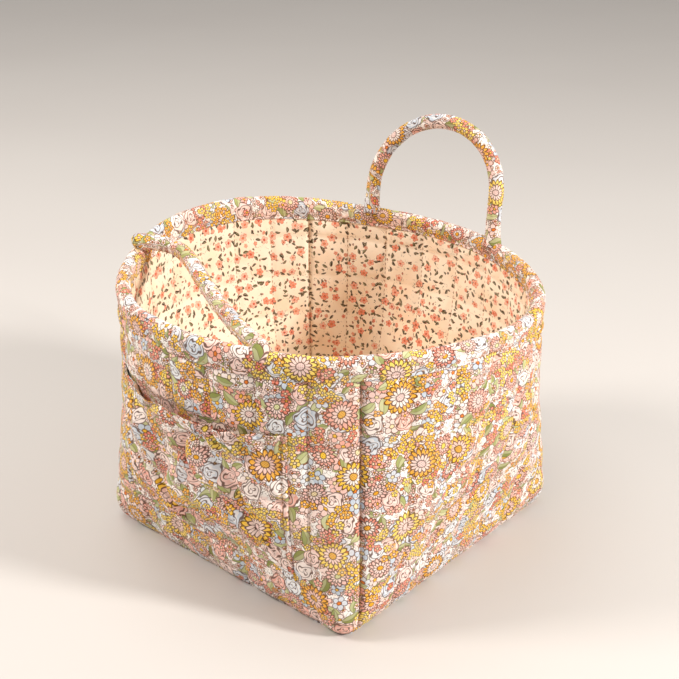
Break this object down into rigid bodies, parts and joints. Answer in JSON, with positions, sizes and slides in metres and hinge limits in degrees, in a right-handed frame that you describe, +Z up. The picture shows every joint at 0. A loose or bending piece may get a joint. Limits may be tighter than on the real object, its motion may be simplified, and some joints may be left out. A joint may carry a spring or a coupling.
{
  "type": "sewing basket",
  "caption": "Soft quilted cotton basket with a square base, a round bound rim, rope handles that swing on the rim and a patch pocket; holds sewing supplies.",
  "frame": {"origin": "middle of the underside of the base, on the surface the basket stands on", "axes": "+Z up, -Y out of the front where the patch pocket is, +X towards the right side"},
  "size_m": [0.2614, 0.2665, 0.2424],
  "materials": {
    "outer_print": null,
    "lining_print": "cotton lining printed with small scattered roses and leaf sprigs on peach-cream",
    "wadding": "soft polyester wadding",
    "rope": "soft twisted cotton rope",
    "thread": "matt sewing thread"
  },
  "bodies": {
    "basket": {"outer_front": "outer_print", "outer_right": "outer_print", "outer_back": "outer_print", "outer_left": "outer_print", "wadding_front": "wadding", "wadding_right": "wadding", "wadding_back": "wadding", "wadding_left": "wadding", "lining_front": "lining_print", "lining_right": "lining_print", "lining_back": "lining_print", "lining_left": "lining_print", "base_outer": "outer_print", "base_wadding": "wadding", "base_lining": "lining_print", "rim_binding": "outer_print", "binding_thread": "thread", "pocket_front": "outer_print", "pocket_lining": "lining_print", "pocket_thread": "thread", "back_handle_necks": "outer_print", "front_handle_necks": "outer_print", "handle_tacks": "thread"},
    "back_handle": {"back_handle_cover": "outer_print", "back_handle_rope": "rope"},
    "front_handle": {"front_handle_cover": "outer_print", "front_handle_rope": "rope"}
  },
  "joints": [
    {"name": "back_handle_swing", "type": "hinge", "parent": "basket", "child": "back_handle", "pos_m": [-0.0122, 0.11608, 0.1809], "axis": [0.9945, 0.1045, 0], "range_deg": [-102, 128]},
    {"name": "front_handle_swing", "type": "hinge", "parent": "basket", "child": "front_handle", "pos_m": [-0.02805, -0.08896, 0.1809], "axis": [0.9537, -0.3007, 0], "range_deg": [0, 210]}
  ]
}
